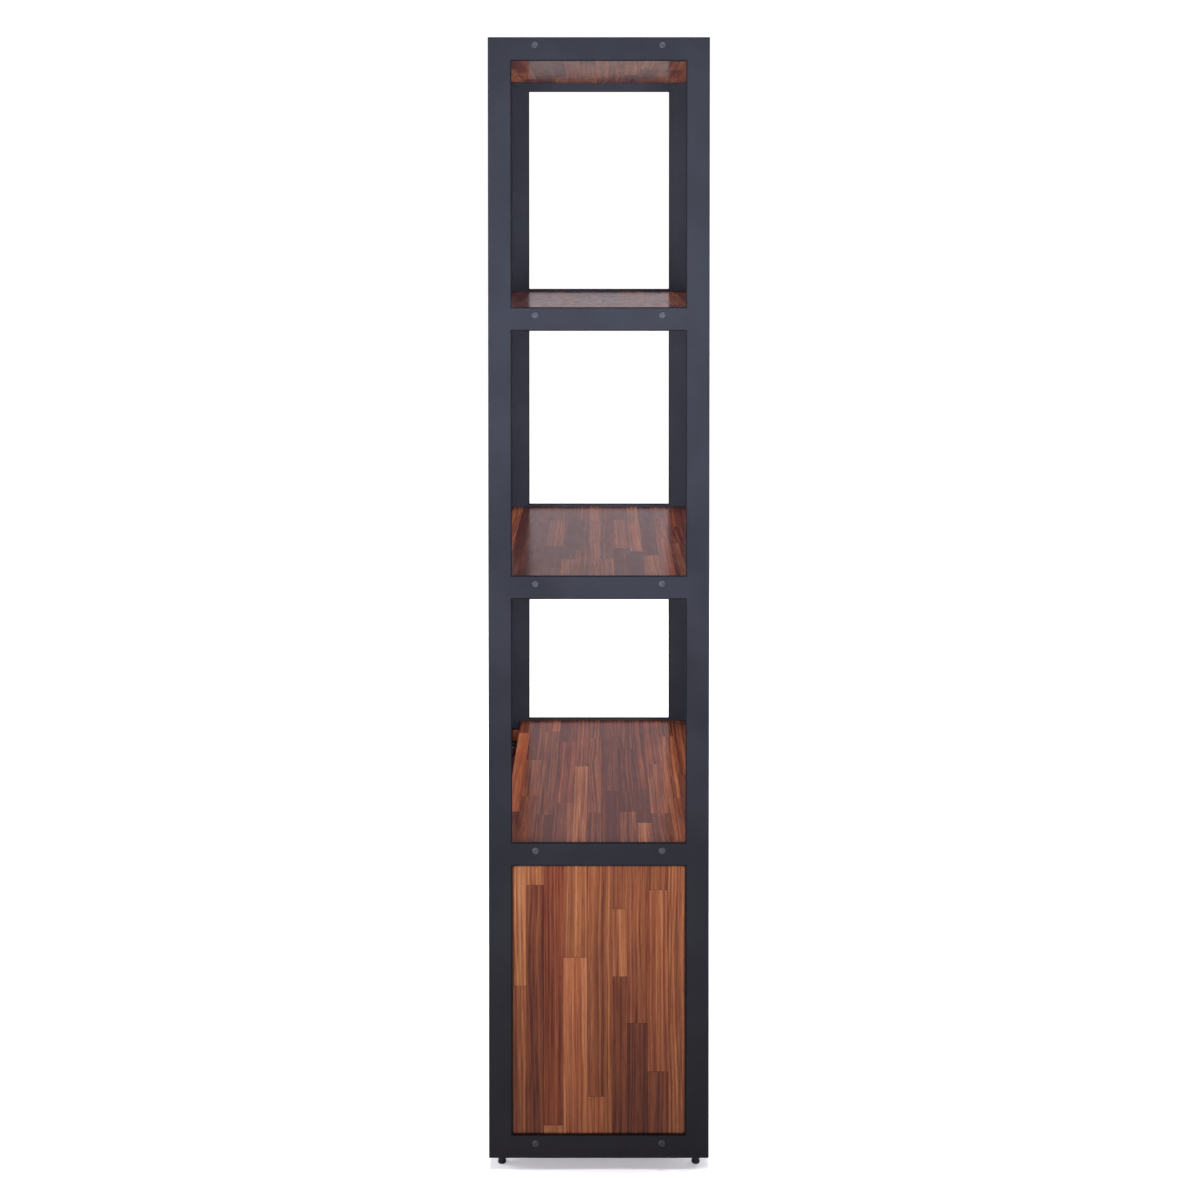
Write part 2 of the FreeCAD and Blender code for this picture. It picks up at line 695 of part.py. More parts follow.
def bolt_master():
    """A button-head bolt, the underside of its head at its own origin and its shank upwards."""
    head = cylinder("bolt_head_master", "bolt_head", "bolt_head_tall")
    place(head, "0", "0", "-bolt_head_tall")
    whole = fuse("bolt_blank", head, cylinder("bolt_shank_master", "bolt_thread", "bolt_reach"))
    socket = hexagon("bolt_socket_master", "bolt_socket", "bolt_socket_deep")
    place(socket, "0", "0", "-bolt_head_tall")
    bolt = doc.addObject("Part::Cut", "bolt_master")
    bolt.Base = whole
    bolt.Tool = socket
    return bolt


def back_screw_master():
    """A countersunk screw, its flat head at its own origin and its shank upwards."""
    taper = doc.addObject("Part::Cone", "back_screw_taper")
    bind(taper, "Radius1", "back_screw_head / 2")
    bind(taper, "Radius2", "back_screw / 2")
    bind(taper, "Height", "(back_screw_head - back_screw) / 2")
    return fuse("back_screw_master", taper, cylinder("back_screw_shank", "back_screw", "back_screw_long"))


def bolt_spots(side, x):
    """Every bolt axis of one end frame."""
    inward = TO_LEFT if side == "right" else TO_RIGHT
    return [
        (signed(SIDES[side], x), f"{MIDDLE} {half} bolt_spread / 2", f"{top} - {BOARD_MIDDLE_DROP}", inward)
        for top in RAIL_TOPS.values() for half in "-+"
    ]


bolt = bolt_master()
insert = ring("insert_master", "insert_outer", "bolt_thread", "insert_long")
for bolt_side in SIDES:
    group(f"board_bolts_{bolt_side}", bolt, bolt_spots(bolt_side, SIDE))
    group(f"threaded_inserts_{bolt_side}", insert, bolt_spots(bolt_side, INNER))
group("back_panel_screws", back_screw_master(), [
    (signed(sign, f"{SIDE} - back_screw_inset"), BACK, f"{CUPBOARD_FLOOR} + {height}", TO_FRONT)
    for sign in SIDES.values() for height in back_screw_heights()
])


# ---- checks and files ------------------------------------------------------------------------------------


def check(thing):
    """Stops at an object that failed, or at a cut that removed nothing."""
    if "Invalid" in thing.State or "Error" in thing.State:
        raise RuntimeError(f"{thing.Label} failed: {thing.State}")
    if thing.isDerivedFrom("PartDesign::Pocket") or thing.isDerivedFrom("PartDesign::Hole"):
        if thing.Shape.Volume > thing.BaseFeature.Shape.Volume - 1:
            raise RuntimeError(f"{thing.Label} cuts nothing")


doc.recompute()
for item in doc.Objects:
    check(item)
os.makedirs("parts", exist_ok=True)
for subpart in subparts:
    if subpart.Shape.isNull() or not subpart.Shape.isValid():
        raise RuntimeError(f"{subpart.Label} has no valid shape")
    subpart.Shape.exportStep(f"parts/{subpart.Label}.step")
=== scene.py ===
"""The looks of a tall bookcase: welded steel end frames, glued stave boards and a cupboard at the bottom.

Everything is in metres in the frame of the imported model: +X to the right, +Y to the back, +Z up.
"""
import bisect
import math
import random

import bmesh
import bpy
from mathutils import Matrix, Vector


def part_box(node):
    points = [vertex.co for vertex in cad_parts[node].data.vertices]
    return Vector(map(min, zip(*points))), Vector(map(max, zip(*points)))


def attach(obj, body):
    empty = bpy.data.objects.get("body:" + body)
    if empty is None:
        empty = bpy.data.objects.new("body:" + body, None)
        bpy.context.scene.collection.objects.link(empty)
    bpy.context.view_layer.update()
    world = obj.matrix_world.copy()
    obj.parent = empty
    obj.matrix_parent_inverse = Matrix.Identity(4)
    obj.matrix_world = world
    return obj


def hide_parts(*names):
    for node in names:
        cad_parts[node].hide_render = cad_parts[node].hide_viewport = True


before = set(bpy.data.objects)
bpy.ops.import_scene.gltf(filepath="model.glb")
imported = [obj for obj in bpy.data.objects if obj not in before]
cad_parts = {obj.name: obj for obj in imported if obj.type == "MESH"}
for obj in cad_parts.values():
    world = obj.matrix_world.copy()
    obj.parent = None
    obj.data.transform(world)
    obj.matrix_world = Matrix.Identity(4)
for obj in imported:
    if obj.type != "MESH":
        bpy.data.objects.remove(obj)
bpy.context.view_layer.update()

MM = 0.001
SIDES = {"left": -1, "right": 1}
ENDS = ("front", "back")
RAILS = ("top", "upper", "middle", "cupboard", "bottom")
X, Y, Z = Vector((1, 0, 0)), Vector((0, 1, 0)), Vector((0, 0, 1))
DIGITS = 6                       # places are told apart to a micrometre
TINY = 1e-6

# Steel
SHARP = math.radians(30)         # an edge that bends more than this is rounded
SHEET_EDGE = 0.6 * MM            # rounding of the steel's edges
CORNER_ROUND = 2 * MM            # outer corner of the angle steel
PAINTED_RIM_WIDTH = 1.8 * MM                   # width of the painted shade line round the openings of the end frames

# Door pulls
PULL_BAR = 6 * MM
PULL_POST = 12 * MM
PULL_BEND = 3 * MM               # rounding of the two front corners
PULL_EDGE = 0.8 * MM

# Bolts in the board ends
BOLT_HEAD = 5.5 * MM             # radius
BOLT_LAND = 2.9 * MM             # radius of the flat round the socket
BOLT_SHANK = 3 * MM              # radius
BOLT_DEEP = 17 * MM
BOLT_EDGE = 0.3 * MM
DOME_STEPS = 8
SOCKET = 2.05 * MM               # half its width across flats
SOCKET_DEEP = 2.2 * MM

# Foot pads: (height, distance in from the widest radius), up to the top of the skirt
PAD_SKIRT = [(0, 1.0), (0.25, 0.35), (0.9, 0), (2.6, 0), (3.2, 0.4)]
PAD_TOP = 0.765                  # top radius over widest radius
ROUND_PARTS = 48                 # corners round bolt heads and pads

# Shelf pegs
PEG_HOLE = 2.5 * MM              # radius
PEG_PITCH = 32 * MM
PEG_HOLES = 9
PEG_ROW = 4                      # the pegs sit this many holes above the lowest
PEG_DEEP = 8 * MM
PEG_MARGIN = 60 * MM             # hole row to the panel's edge
PEG_CORNERS = 20

# Staves
BOARD_EDGE = 1.0 * MM            # rounding of the boards' edges
STAVE_WIDE = (21 * MM, 34 * MM)
STAVE_LONG = (130 * MM, 420 * MM)
STAVE_STAGGER = 18 * MM          # closest two joints in neighbouring rows
LEAF_WIDE = (95 * MM, 130 * MM)  # veneer leaves of the back panel
LEAF_LONG = (1.0, 1.2)           # longer than the panel, so that each leaf is in one piece
TONE_MIDDLE, TONE_SPREAD, TONE_TOP = 0.19, 0.17, 0.95
# Where in the tree a stave comes from: along it, to one side of its heart and away from its heart.
IN_TREE = ((0, 4), (-0.07, 0.07), (0.015, 0.07))
FIRST_CUT = 0.3                  # shortest share of its length left of a row's first stave

# Looks of the wood. Each tint darkens the colour under it.
WOOD_RAMP = [
    (0.00, (0.120, 0.027, 0.016)),
    (0.25, (0.260, 0.070, 0.031)),
    (0.50, (0.455, 0.140, 0.054)),
    (0.75, (0.670, 0.245, 0.090)),
    (1.00, (0.840, 0.400, 0.160)),
]
VEIN_TINT = (0.40, 0.29, 0.26, 1)
RED_TINT = (0.95, 0.72, 0.78, 1)
PORE_TINT = (0.42, 0.30, 0.28, 1)
GLUE_TINT = (0.36, 0.26, 0.24, 1)
GLUE_LINE = (0.10 * MM, 0.55 * MM)  # dark up to the first distance from the joint, gone at the second
PAINTED_SHADE_REACH = 5 * MM                  # how far the painted shade on the wood beside the steel reaches
# colour of the painted shade on the wood where it meets the steel
PAINTED_SHADE_TINT = (0.10, 0.07, 0.06, 1)
PAINTED_RIM_SHADE_TINT = (0.30, 0.26, 0.28, 1)  # the painted shade line on the steel round the openings

# Studio light
SEEN_WHITE = (1.05, 1.05, 1.05, 1)
MIRRORED_WHITE = (0.47, 0.43, 0.47, 1)
FILL_LIGHT = (0.165, 0.125, 0.118, 1)
FLOOR_SEEN = (0.90, 0.90, 0.90, 1)
FLOOR_MIRRORED = (0.30, 0.31, 0.33, 1)
FLOOR_BOUNCE = (0.09, 0.065, 0.055, 1)
FLOOR_GLOW = (0.28, 0.27, 0.28, 1)
FLOOR_HALF = 30
DARK = (0, 0, 0, 1)
KEY_COLOUR = (0.84, 0.96, 1.20)
LOW_COLOUR = (1.05, 0.85, 0.65)

# Camera
CAMERA_AWAY = 2.4186             # from the right end frame
CAMERA_SIDE = 0.0109
CAMERA_HEIGHT = 1.5437
CAMERA_TILT = 89                 # degrees from straight down
CAMERA_LENS = 45.32
CAMERA_SHIFT = -0.2984

# The right side panel, from its front edge: each row's width and its staves as
# (distance from the top, tone), in millimetres.
PANEL_ROWS = [
    (35.0, [(0, 0.40), (300, 0.62)]),
    (22.5, [(0, 0.70), (214, 0.42)]),
    (28.4, [(0, 0.56), (50, 0.26)]),
    (31.4, [(0, 0.36), (442, 0.74)]),
    (38.7, [(0, 0.48), (168, 0.84)]),
    (29.5, [(0, 0.46), (395, 0.66)]),
    (12.2, [(0, 0.52)]),
    (22.9, [(0, 0.47), (89, 0.60), (199, 0.30)]),
    (33.2, [(0, 0.44), (275, 0.16)]),
    (33.2, [(0, 0.36), (58, 0.54), (354, 0.20)]),
    (27.6, [(0, 0.52)]),
    (35.0, [(0, 0.60), (180, 0.30)]),
]


# ---- meshes ----------------------------------------------------------------------------------------------


def add_piece(name, bm, material, body, replaced):
    """Turns a bmesh into an object that rides on a body and stands for CAD nodes."""
    bmesh.ops.recalc_face_normals(bm, faces=bm.faces)
    for face in bm.faces:
        face.smooth = True
    mesh = bpy.data.meshes.new(name)
    bm.to_mesh(mesh)
    bm.free()
    mesh.materials.append(material)
    piece = bpy.data.objects.new(name, mesh)
    bpy.context.scene.collection.objects.link(piece)
    piece.modifiers.new("even_shading", "WEIGHTED_NORMAL").keep_sharp = True
    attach(piece, body)
    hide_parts(*replaced)


def settle_order(bm):
    """Sorts corners and faces by place. A bevel can leave them in another order from run to run."""
    for items, place in (
        (bm.verts, lambda vert: vert.co),
        (bm.faces, lambda face: face.calc_center_median()),
    ):
        for number, item in enumerate(sorted(items, key=lambda item: tuple(place(item)))):
            item.index = number
        items.sort()


def round_edges(bm, radius, segments, wanted=lambda edge: True):
    """Rounds the sharp edges that the test picks."""
    sharp = [e for e in bm.edges if e.is_manifold and e.calc_face_angle() > SHARP and wanted(e)]
    bmesh.ops.bevel(bm, geom=sharp, offset=radius, offset_type="OFFSET", segments=segments, profile=0.5,
                    affect="EDGES", clamp_overlap=True)
    settle_order(bm)


def grid_solid(blocks, more_lines=((), (), ())):
    """One closed mesh around a union of boxes, each given as its lowest and highest corner.

    more_lines are places along X, Y and Z where the mesh is split as well.
    """
    lines = []
    for axis in range(3):
        places = [end[axis] for block in blocks for end in block] + list(more_lines[axis])
        lines.append(sorted({round(place, DIGITS) for place in places}))
    filled = set()
    for low, high in blocks:
        spans = [
            range(*(lines[axis].index(round(end[axis], DIGITS)) for end in (low, high)))
            for axis in range(3)
        ]
        filled |= {(i, j, k) for i in spans[0] for j in spans[1] for k in spans[2]}
    bm = bmesh.new()
    corners = {}

    def corner(place):
        if place not in corners:
            corners[place] = bm.verts.new([lines[axis][place[axis]] for axis in range(3)])
        return corners[place]

    for cell in sorted(filled):
        for axis in range(3):
            first, second = (axis + 1) % 3, (axis + 2) % 3
            for step in (0, 1):
                beside = list(cell)
                beside[axis] += 2 * step - 1
                if tuple(beside) in filled:
                    continue
                ring = []
                for a, b in ((0, 0), (1, 0), (1, 1), (0, 1)):
                    place = list(cell)
                    place[axis] += step
                    place[first] += a
                    place[second] += b
                    ring.append(corner(tuple(place)))
                bm.faces.new(ring)
    bmesh.ops.recalc_face_normals(bm, faces=bm.faces)
    return bm


def turned_rings(bm, rings, place, around, segments):
    """Joins rings of points into one closed skin. A ring is (height, radius).

    In a ring with a third value the corners lie on a hexagon. Its radius is then half the width
    across flats.
    """
    side = around.orthogonal().normalized()
    other = around.cross(side)
    loops = []
    for height, radius, *hexagon in rings:
        loop = []
        for n in range(segments):
            angle = 2 * math.pi * n / segments
            reach = radius
            if hexagon:
                reach = radius / math.cos((angle + math.pi / 6) % (math.pi / 3) - math.pi / 6)
            loop.append(bm.verts.new(place + around * height
                                     + (side * math.cos(angle) + other * math.sin(angle)) * reach))
        loops.append(loop)
    for low, high in zip(loops, loops[1:]):
        for n in range(segments):
            bm.faces.new((low[n], low[(n + 1) % segments], high[(n + 1) % segments], high[n]))
    bm.faces.new(loops[0])
    bm.faces.new(loops[-1])


# ---- stave boards ----------------------------------------------------------------------------------------


def random_rows(rng, wide, long, row_wide=STAVE_WIDE, stave_long=STAVE_LONG):
    """Rows of staves that fill a board: a list of (width, [(start, tone), ...])."""
    widths = []
    while sum(widths) < wide:
        widths.append(rng.uniform(*row_wide))
    scale = wide / sum(widths)
    rows, before = [], []
    for width in widths:
        starts, reach = [0.0], rng.uniform(FIRST_CUT, 1) * rng.uniform(*stave_long)
        while reach < long - stave_long[0] / 3:
            if all(abs(reach - joint) > STAVE_STAGGER for joint in before):
                starts.append(reach)
            reach += rng.uniform(*stave_long)
        before = starts[1:]
        tones = [min(TONE_TOP, max(0.0, rng.gauss(TONE_MIDDLE, TONE_SPREAD))) for _ in starts]
        rows.append((width * scale, list(zip(starts, tones))))
    return rows


def stave_mesh(size, rows):
    """A board as a closed mesh in its own (along, across, through) axes, its faces split into staves."""
    long, wide, thick = size
    edges_across = [0.0]
    for width, _ in rows:
        edges_across.append(edges_across[-1] + width)
    edges_across[-1] = wide
    joints = [[start for start, _ in staves] + [long] for _, staves in rows]
    lines = []
    for n in range(len(rows) + 1):
        touching = joints[max(0, n - 1):n + 1]
        lines.append(sorted({round(u, DIGITS) for row in touching for u in row}))
    bm = bmesh.new()
    made = {}

    def vertex(u, v, w):
        key = (round(u, DIGITS), round(v, DIGITS), w)
        if key not in made:
            made[key] = bm.verts.new((u, v, w))
        return made[key]

    for n, row in enumerate(joints):
        low, high = edges_across[n], edges_across[n + 1]
        for start, end in zip(row, row[1:]):
            along = [u for u in lines[n] if start - TINY <= u <= end + TINY]
            back = [u for u in reversed(lines[n + 1]) if start - TINY <= u <= end + TINY]
            for w in (0.0, thick):
                bm.faces.new([vertex(u, low, w) for u in along] + [vertex(u, high, w) for u in back])
        for u in (0.0, long):
            bm.faces.new([vertex(u, v, w) for v, w in
                          ((low, 0.0), (high, 0.0), (high, thick), (low, thick))])
    for line, v in ((lines[0], 0.0), (lines[-1], wide)):
        for start, end in zip(line, line[1:]):
            bm.faces.new([vertex(u, v, w) for u, w in
                          ((start, 0.0), (end, 0.0), (end, thick), (start, thick))])
    bmesh.ops.recalc_face_normals(bm, faces=bm.faces)
    return bm, edges_across, joints


def mark_staves(bm, edges_across, joints, rows, rng):
    """Writes on every face which stave it belongs to, and on every corner where it lies in the tree."""
    grain = bm.loops.layers.float_vector.new("grain")
    inside = bm.loops.layers.float_vector.new("inside")
    half = bm.faces.layers.float_vector.new("half")
    look = bm.faces.layers.float_vector.new("look")
    staves = {}
    for n, (_, row) in enumerate(rows):
        for k, (_, tone) in enumerate(row):
            shift = Vector([rng.uniform(*span) for span in IN_TREE])
            staves[n, k] = (shift, Vector((tone, rng.random(), rng.random())))
    for face in bm.faces:
        middle = face.calc_center_median()
        n = min(max(bisect.bisect(edges_across, middle.y) - 1, 0), len(rows) - 1)
        k = min(max(bisect.bisect(joints[n], middle.x) - 1, 0), len(joints[n]) - 2)
        shift, tone = staves[n, k]
        start, end = joints[n][k], joints[n][k + 1]
        low, high = edges_across[n], edges_across[n + 1]
        centre = Vector(((start + end) / 2, (low + high) / 2, 0))
        face[half] = ((end - start) / 2, (high - low) / 2, 0)
        face[look] = tone
        for loop in face.loops:
            loop[grain] = loop.vert.co + shift
            loop[inside] = loop.vert.co - centre


def stave_board(node, along, across, seed, body="frame", rows=None, drill=None,
                piece_name="{}_staves", slot="stave_wood", **layout):
    """A board of glued staves in the place of a CAD node. along and across are axes of the row frame."""
    rng = random.Random(seed)
    low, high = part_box(node)
    through = Vector([1 - abs(a) - abs(b) for a, b in zip(along, across)])
    origin = Vector([
        high[axis] if along[axis] + across[axis] < 0 else low[axis] for axis in range(3)
    ])
    size = [abs((high - low).dot(axis)) for axis in (along, across, through)]
    rows = rows or random_rows(rng, size[1], size[0], **layout)
    bm, edges_across, joints = stave_mesh(size, rows)
    round_edges(bm, BOARD_EDGE, 2)
    if drill:
        bm = bored(bm, drill)
    mark_staves(bm, edges_across, joints, rows, rng)
    for vert in bm.verts:
        u, v, w = vert.co
        vert.co = origin + along * u + across * v + through * w
    add_piece(piece_name.format(node), bm, WOOD, body, [node])


def bored(bm, drill):
    """The board with holes cut by a drill mesh, both in the board's own axes."""
    meshes = []
    for part in (bm, drill):
        mesh = bpy.data.meshes.new("bored")
        part.to_mesh(mesh)
        part.free()
        meshes.append(mesh)
    board, tool = (bpy.data.objects.new("bored", mesh) for mesh in meshes)
    for item in (board, tool):
        bpy.context.scene.collection.objects.link(item)
    cut = board.modifiers.new("holes", "BOOLEAN")
    cut.operation = "DIFFERENCE"
    cut.solver = "EXACT"
    cut.object = tool
    bpy.context.view_layer.update()
    result = bpy.data.meshes.new_from_object(board.evaluated_get(bpy.context.evaluated_depsgraph_get()))
    made = bmesh.new()
    made.from_mesh(result)
    for item in (board, tool):
        bpy.data.objects.remove(item)
    for mesh in (*meshes, result):
        bpy.data.meshes.remove(mesh)
    return made


def peg_drill(panel_wide, panel_thick, inner_face):
    """All the shelf peg holes of one side panel, in the panel's own axes, measured from its top."""
    drill = bmesh.new()
    into = -Z if inner_face else Z
    surface = panel_thick if inner_face else 0.0
    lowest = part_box("shelf_pegs")[0].z + PEG_HOLE - PEG_ROW * PEG_PITCH
    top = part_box("side_panel_right")[1].z
    for across in (PEG_MARGIN, panel_wide - PEG_MARGIN):
        for n in range(PEG_HOLES):
            along = top - lowest - n * PEG_PITCH
            start = Vector((along, across, surface)) - into * MM
            turned_rings(drill, [(0, PEG_HOLE), (PEG_DEEP + MM, PEG_HOLE)], start, into, PEG_CORNERS)
    bmesh.ops.recalc_face_normals(drill, faces=drill.faces)
    return drill


# ---- materials -------------------------------------------------------------------------------------------


class Shading:
    """A material being built: its node tree and short ways to add to it."""

    def __init__(self, name, **surface):
        self.material = bpy.data.materials.new(name)
        self.material.use_nodes = True
        self.tree = self.material.node_tree
        self.surface = self.tree.nodes["Principled BSDF"]
        self.set(self.surface, surface)

    def set(self, node, inputs):
        """Sets or links sockets. A name's spaces are written as underscores."""
        for name, value in inputs.items():
            socket = node.inputs[name.replace("_", " ") if isinstance(name, str) else name]
            if isinstance(value, bpy.types.NodeSocket):
                self.tree.links.new(value, socket)
            else:
                socket.default_value = value

    def add(self, kind, output=0, inputs=None, **properties):
        node = self.tree.nodes.new(f"ShaderNode{kind}")
        for name, value in properties.items():
            setattr(node, name, value)
        self.set(node, inputs or {})
        return node.outputs[output]

    def attribute(self, name, output="Vector"):
        return self.add("Attribute", output=output, attribute_name=name)

    def parts(self, vector):
        return self.add("SeparateXYZ", inputs={0: vector}).node.outputs

    def math(self, operation, first, second=0.0, third=0.0):
        return self.add("Math", inputs={0: first, 1: second, 2: third}, operation=operation)

    def stretched(self, vector, scale):
        """The vector with each part multiplied by its own scale."""
        return self.add("VectorMath", inputs={0: vector, 1: scale}, operation="MULTIPLY")

    def noise(self, vector, scale, detail=2.0, roughness=0.5):
        return self.add("TexNoise", inputs={
            "Vector": vector, "Scale": scale, "Detail": detail, "Roughness": roughness,
        })

    def grain_noise(self, vector, stretch, detail=2.0, roughness=0.5):
        return self.noise(self.stretched(vector, stretch), 1.0, detail, roughness)

    def between(self, value, low, high, new_low=0.0, new_high=1.0):
        """The value's span from low to high, spread smoothly over a new span."""
        return self.add("MapRange", interpolation_type="SMOOTHSTEP", inputs={
            "Value": value, "From_Min": low, "From_Max": high, "To_Min": new_low, "To_Max": new_high,
        })

    def ramp(self, factor, stops):
        """A colour ramp. A stop is (position, (red, green, blue))."""
        node = self.tree.nodes.new("ShaderNodeValToRGB")
        elements = node.color_ramp.elements
        while len(elements) < len(stops):
            elements.new(0.5)
        for element, (position, colour) in zip(elements, stops):
            element.position = position
            element.color = (*colour, 1)
        self.set(node, {"Fac": factor})
        return node.outputs[0]

    def mixed(self, first, second, factor, blend="MIX"):
        """Two colours mixed by a factor."""
        return self.add("Mix", output=2, data_type="RGBA", blend_type=blend,
                        inputs={0: factor, 6: first, 7: second})

    def tinted(self, colour, tint, share=1.0):
        return self.mixed(colour, tint, share, "MULTIPLY")

    def bump(self, height, strength, distance):
        normal = self.add("Bump", inputs={"Height": height, "Strength": strength, "Distance": distance})
        self.set(self.surface, {"Normal": normal})


def stave_wood():
    """Lacquered red-brown hardwood, cut in staves that each come from another part of the tree."""
    m = Shading("stave_wood", Specular_IOR_Level=0.0, Coat_Weight=1.0, Coat_IOR=1.45)
    grain = m.attribute("grain")
    looks = m.parts(m.attribute("look"))
    tone, redness, age = looks[0], looks[1], looks[2]

    # Growth rings: the distance from the tree's middle, bent a little along the stave.
    bend = m.grain_noise(grain, (2.2, 9, 9))
    wave = m.math("MULTIPLY_ADD", bend, 0.030, -0.015)
    place = m.parts(grain)
    beside = m.math("ADD", place[1], wave)
    reach = m.math("SQRT", m.math("ADD", m.math("MULTIPLY", beside, beside),
                                  m.math("MULTIPLY", place[2], place[2])))
    ring_place = m.add("CombineXYZ", inputs={0: m.math("MULTIPLY", reach, 260.0), 1: age})
    rings = m.between(m.noise(ring_place, 1.0, detail=3, roughness=0.62), 0.30, 0.72)

    # Long soft streaks, fine fibres, thin veins and short open pores, all along the grain.
    streaks = m.grain_noise(grain, (4, 150, 150), detail=4, roughness=0.68)
    fibres = m.grain_noise(grain, (14, 520, 520), detail=3, roughness=0.7)
    pores = m.between(m.grain_noise(grain, (55, 1500, 1500), detail=1), 0.60, 0.74)
    mottle = m.grain_noise(grain, (9, 30, 30))
    veins = m.between(m.grain_noise(grain, (2.5, 230, 230), detail=3, roughness=0.6), 0.53, 0.66)

    for pattern, share in ((rings, 0.42), (streaks, 0.62), (fibres, 0.66), (mottle, 0.25)):
        centred = m.math("SUBTRACT", pattern, 0.5)
        tone = m.math("ADD", tone, m.math("MULTIPLY", centred, share))
    colour = m.ramp(tone, WOOD_RAMP)
    colour = m.tinted(colour, VEIN_TINT, m.math("MULTIPLY", veins, m.between(age, 0.2, 1.0, 0.25, 0.85)))
    colour = m.mixed(colour, m.tinted(colour, RED_TINT), m.between(redness, 0.45, 1.0, 0.0, 0.75))
    colour = m.tinted(colour, PORE_TINT, m.math("MULTIPLY", pores, 0.55))

    # The thin glue line around each stave.
    inside = m.parts(m.attribute("inside"))
    half = m.parts(m.attribute("half"))
    gaps = [m.math("SUBTRACT", half[n], m.math("ABSOLUTE", inside[n])) for n in range(2)]
    glue = m.between(m.math("MINIMUM", *gaps), *GLUE_LINE, 1.0, 0.0)
    colour = m.tinted(colour, GLUE_TINT, m.math("MULTIPLY", glue, 0.75))

    # Painted shade where the wood meets the steel: ambient occlusion darkens the base colour.
    open_sky = m.add("AmbientOcclusion", output="AO", inputs={"Distance": PAINTED_SHADE_REACH}, samples=8)
    colour = m.tinted(colour, PAINTED_SHADE_TINT, m.between(open_sky, 0.60, 0.96, 1.0, 0.0))
    m.set(m.surface, {"Base_Color": colour})

    gloss = m.grain_noise(grain, (20, 60, 60), detail=3)
    m.set(m.surface, {"Coat_Roughness": m.between(gloss, 0.3, 0.7, 0.17, 0.25), "Roughness": 0.6})
    height = m.math("SUBTRACT", m.math("MULTIPLY", fibres, 0.4), m.math("ADD", pores, glue))
    m.bump(height, 0.25, 0.04 * MM)
    return m.material


def powder_coat(name, colour):
    """Fine textured powder coat on steel, with painted shade along the rim of the openings."""
    m = Shading(name, Specular_IOR_Level=0.2)
    where = m.add("TexCoord", output="Object")
    cloud = m.noise(where, 9.0, detail=4)
    fleck = m.noise(where, 1900.0, detail=2, roughness=0.7)
    dark = tuple(0.86 * c for c in colour)
    light = tuple(1.12 * c for c in colour)
    shade = m.ramp(m.between(cloud, 0.3, 0.7), [(0, dark), (1, light)])
    fleck_look = m.ramp(fleck, [(0.35, (0.80, 0.80, 0.80)), (0.70, (1.0, 1.0, 1.0))])
    flecked = m.tinted(shade, fleck_look, 0.6)
    # Painted shade: the faces marked at the rim of the openings are tinted dark.
    m.set(m.surface, {"Base_Color": m.tinted(flecked, PAINTED_RIM_SHADE_TINT, m.attribute("rim", "Fac"))})
    m.set(m.surface, {"Roughness": m.between(cloud, 0.3, 0.7, 0.42, 0.52)})
    m.bump(fleck, 0.25, 0.06 * MM)
    return m.material


def bare_metal(name, colour, roughness, metallic=1.0):
    """Plated or bare metal with fine working marks."""
    m = Shading(name, Metallic=metallic)
    where = m.add("TexCoord", output="Object")
    marks = m.grain_noise(where, (400, 400, 40), detail=4, roughness=0.65)
    patina = m.noise(where, 60.0, detail=3)
    dark = tuple(0.72 * c for c in colour)
    m.set(m.surface, {"Base_Color": m.ramp(m.between(patina, 0.3, 0.7), [(0, dark), (1, colour)])})
    m.set(m.surface, {"Roughness": m.between(marks, 0.25, 0.75, roughness - 0.07, roughness + 0.1)})
    m.bump(marks, 0.15, 0.05 * MM)
    return m.material


def moulded_plastic(name, colour, roughness):
    """Moulded plastic with a slight orange peel."""
    m = Shading(name)
    where = m.add("TexCoord", output="Object")
    peel = m.noise(where, 900.0, detail=2)
    cloud = m.noise(where, 45.0, detail=3)
    dark = tuple(0.8 * c for c in colour)
    m.set(m.surface, {"Base_Color": m.ramp(m.between(cloud, 0.3, 0.7), [(0, dark), (1, colour)])})
    m.set(m.surface, {"Roughness": m.between(peel, 0.3, 0.7, roughness - 0.06, roughness + 0.06)})
    m.bump(peel, 0.2, 0.05 * MM)
    return m.material


WOOD = stave_wood()
COAT = powder_coat("powder_coated_steel", (0.043, 0.042, 0.0485))
BLACK_STEEL = bare_metal("black_bolt_steel", (0.15, 0.15, 0.165), 0.5, metallic=0.35)
ZINC = bare_metal("zinc_plated_steel", (0.62, 0.64, 0.66), 0.34)
BRASS = bare_metal("insert_brass", (0.72, 0.52, 0.24), 0.3)
PLASTIC = moulded_plastic("black_plastic", (0.022, 0.022, 0.024), 0.45)
NYLON = moulded_plastic("white_nylon", (0.62, 0.60, 0.55), 0.42)


def kept_nodes():
    """The CAD nodes that stay as they are, each with its material."""
    table = {
        COAT: ["door_pivot_tabs", "foot_plates"],
        ZINC: ["foot_lock_nuts", "foot_weld_nuts", "shelf_pegs", "door_pivot_pins", "back_panel_screws",
               "door_strike_left", "door_strike_right", "pull_screws_left", "pull_screws_right"]
        + [f"foot_{end}_{side}_stud" for end in ENDS for side in SIDES],
        BRASS: ["threaded_inserts_left", "threaded_inserts_right"],
        PLASTIC: ["door_magnet_left", "door_magnet_right"],
        NYLON: ["door_bushes_left", "door_bushes_right"],
    }
    for material, names in table.items():
        for name in names:
            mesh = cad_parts[name].data
            mesh.materials.clear()
            mesh.materials.append(material)


# ---- pieces ----------------------------------------------------------------------------------------------


def box_of(node):
    return tuple(tuple(corner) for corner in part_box(node))


def same(*places):
    return max(places) - min(places) < TINY


